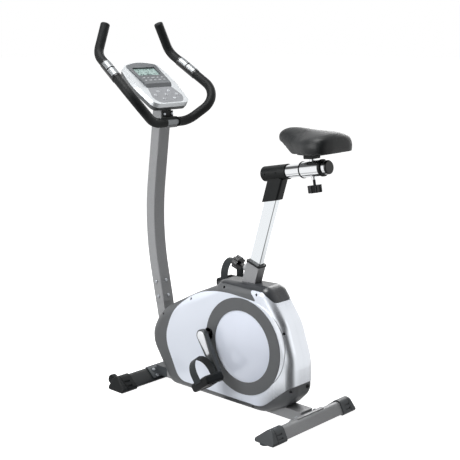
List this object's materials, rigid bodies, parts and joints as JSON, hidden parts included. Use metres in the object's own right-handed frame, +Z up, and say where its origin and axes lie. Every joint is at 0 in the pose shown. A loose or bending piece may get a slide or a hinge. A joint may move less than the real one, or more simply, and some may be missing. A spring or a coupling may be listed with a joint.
{
  "type": "exercise_bike",
  "caption": "Upright exercise bike with a grey bent post, black swept handlebar, silver console, white covers with a grey disc ring, chrome sliding seat post and black saddle.",
  "frame": {"origin": "on the floor under the middle of the whole bike", "axes": "+X forward, +Y to the rider's left, +Z up"},
  "size_m": [1.0598, 0.5038, 1.4375],
  "materials": {
    "grey_painted_steel": "satin",
    "charcoal_painted_steel": "satin",
    "black_plastic": "matte",
    "grey_plastic": "satin",
    "white_plastic": "gloss",
    "silver_plastic": "satin",
    "chrome_steel": "polished",
    "zinc_steel": "satin",
    "grey_cast_crank": "satin",
    "iron": "machined",
    "foam_rubber": "matte",
    "black_rubber": "matte",
    "black_vinyl": "soft sheen",
    "display_glass": "gloss",
    "board_laminate": "matte"
  },
  "bodies": {
    "frame": {"main_frame": "grey_painted_steel", "front_stabiliser": "charcoal_painted_steel", "rear_stabiliser": "grey_painted_steel", "front_end_caps": "black_plastic", "rear_end_caps": "grey_plastic", "frame_bolts": "zinc_steel", "handlebar_post": "grey_painted_steel", "handlebar_clamp": "black_plastic", "left_cover": "grey_plastic", "right_cover": "grey_plastic", "side_panels": "white_plastic", "top_hood": "grey_plastic", "disc_rings": "grey_plastic", "disc_domes": "white_plastic", "cover_screws": "zinc_steel", "power_inlet": "black_plastic", "seat_bushing": "black_plastic", "console_back": "grey_plastic", "console_front": "silver_plastic", "display_bezel": "grey_plastic", "key_panel": "grey_plastic", "lcd_panel": "display_glass", "circuit_board": "board_laminate", "bearings": "zinc_steel", "drive_belt": "black_rubber", "tension_motor": "black_plastic"},
    "handlebar": {"handlebar_tube": "chrome_steel", "foam_grips": "foam_rubber", "pulse_housings": "black_plastic", "pulse_plates": "chrome_steel"},
    "crankset": {"crank_axle": "zinc_steel", "crank_arms": "grey_cast_crank", "drive_pulley": "grey_plastic", "pedal_spindles": "zinc_steel"},
    "flywheel_unit": {"flywheel": "iron", "flywheel_axle": "zinc_steel"},
    "brake": {"brake_arm": "charcoal_painted_steel"},
    "left_pedal_unit": {"left_pedal": "black_plastic", "left_pedal_strap": "black_rubber"},
    "right_pedal_unit": {"right_pedal": "black_plastic", "right_pedal_strap": "black_rubber"},
    "seat_column": {"seat_post": "chrome_steel", "seat_post_head": "black_plastic", "slider_tube": "chrome_steel", "slider_end_plug": "black_plastic"},
    "saddle": {"slide_sleeve": "chrome_steel", "sleeve_collar": "black_plastic", "saddle_base": "black_plastic", "saddle_pad": "black_vinyl"},
    "height_knob": {"seat_height_knob": "black_plastic"},
    "slide_knob": {"seat_slide_knob": "black_plastic"},
    "left_wheel": {"left_transport_wheel": "black_rubber"},
    "right_wheel": {"right_transport_wheel": "black_rubber"},
    "key_unit_1": {"key_1": "silver_plastic"},
    "key_unit_2": {"key_2": "silver_plastic"},
    "key_unit_3": {"key_3": "silver_plastic"},
    "key_unit_4": {"key_4": "silver_plastic"},
    "key_unit_5": {"key_5": "silver_plastic"},
    "key_unit_6": {"key_6": "silver_plastic"},
    "key_unit_7": {"key_7": "silver_plastic"}
  },
  "joints": [
    {"name": "handlebar_tilt", "type": "hinge", "parent": "frame", "child": "handlebar", "pos_m": [0.2907, 0, 1.0565], "axis": [0, 1, 0], "range_deg": [-12, 12]},
    {"name": "flywheel_spin", "type": "hinge", "parent": "frame", "child": "flywheel_unit", "pos_m": [-0.142, 0, 0.257], "axis": [0, 1, 0], "continuous": true},
    {"name": "crank_spin", "type": "hinge", "parent": "frame", "child": "crankset", "pos_m": [0.03, 0, 0.27], "axis": [0, 1, 0], "continuous": true},
    {"name": "brake_swing", "type": "hinge", "parent": "frame", "child": "brake", "pos_m": [-0.15548, 0.041, 0.38529], "axis": [0, 1, 0], "range_deg": [0, 6]},
    {"name": "left_pedal_spin", "type": "hinge", "parent": "crankset", "child": "left_pedal_unit", "pos_m": [-0.05705, 0.161, 0.12398], "axis": [0, 1, 0], "continuous": true},
    {"name": "right_pedal_spin", "type": "hinge", "parent": "crankset", "child": "right_pedal_unit", "pos_m": [0.11705, -0.161, 0.41602], "axis": [0, 1, 0], "continuous": true},
    {"name": "seat_height", "type": "slide", "parent": "frame", "child": "seat_column", "axis": [-0.2924, 0, 0.9563], "range_m": [-0.2, 0.05]},
    {"name": "seat_slide", "type": "slide", "parent": "seat_column", "child": "saddle", "axis": [-0.9836, 0, 0.1805], "range_m": [-0.06, 0.012]},
    {"name": "height_knob_pull", "type": "slide", "parent": "frame", "child": "height_knob", "axis": [0.9563, 0, 0.2924], "range_m": [0, 0.01], "stiffness_N_per_m": 400},
    {"name": "slide_knob_turn", "type": "hinge", "parent": "saddle", "child": "slide_knob", "pos_m": [-0.41165, 0, 0.94288], "axis": [0.1805, 0, 0.9836], "range_deg": [0, 360]},
    {"name": "left_wheel_spin", "type": "hinge", "parent": "frame", "child": "left_wheel", "pos_m": [0.43, 0.2062, 0.024], "axis": [0, 1, 0], "continuous": true},
    {"name": "right_wheel_spin", "type": "hinge", "parent": "frame", "child": "right_wheel", "pos_m": [0.43, -0.2062, 0.024], "axis": [0, 1, 0], "continuous": true},
    {"name": "key_1_press", "type": "slide", "parent": "frame", "child": "key_unit_1", "axis": [0.5878, 0, -0.809], "range_m": [0, 0.0015], "stiffness_N_per_m": 600},
    {"name": "key_2_press", "type": "slide", "parent": "frame", "child": "key_unit_2", "axis": [0.5878, 0, -0.809], "range_m": [0, 0.0015], "stiffness_N_per_m": 600},
    {"name": "key_3_press", "type": "slide", "parent": "frame", "child": "key_unit_3", "axis": [0.5878, 0, -0.809], "range_m": [0, 0.0015], "stiffness_N_per_m": 600},
    {"name": "key_4_press", "type": "slide", "parent": "frame", "child": "key_unit_4", "axis": [0.5878, 0, -0.809], "range_m": [0, 0.0015], "stiffness_N_per_m": 600},
    {"name": "key_5_press", "type": "slide", "parent": "frame", "child": "key_unit_5", "axis": [0.5878, 0, -0.809], "range_m": [0, 0.0015], "stiffness_N_per_m": 600},
    {"name": "key_6_press", "type": "slide", "parent": "frame", "child": "key_unit_6", "axis": [0.5878, 0, -0.809], "range_m": [0, 0.0015], "stiffness_N_per_m": 600},
    {"name": "key_7_press", "type": "slide", "parent": "frame", "child": "key_unit_7", "axis": [0.5878, 0, -0.809], "range_m": [0, 0.0015], "stiffness_N_per_m": 600}
  ],
  "couplings": [
    {"joint": "crank_spin", "follows": "flywheel_spin", "ratio": 0.15076}
  ]
}
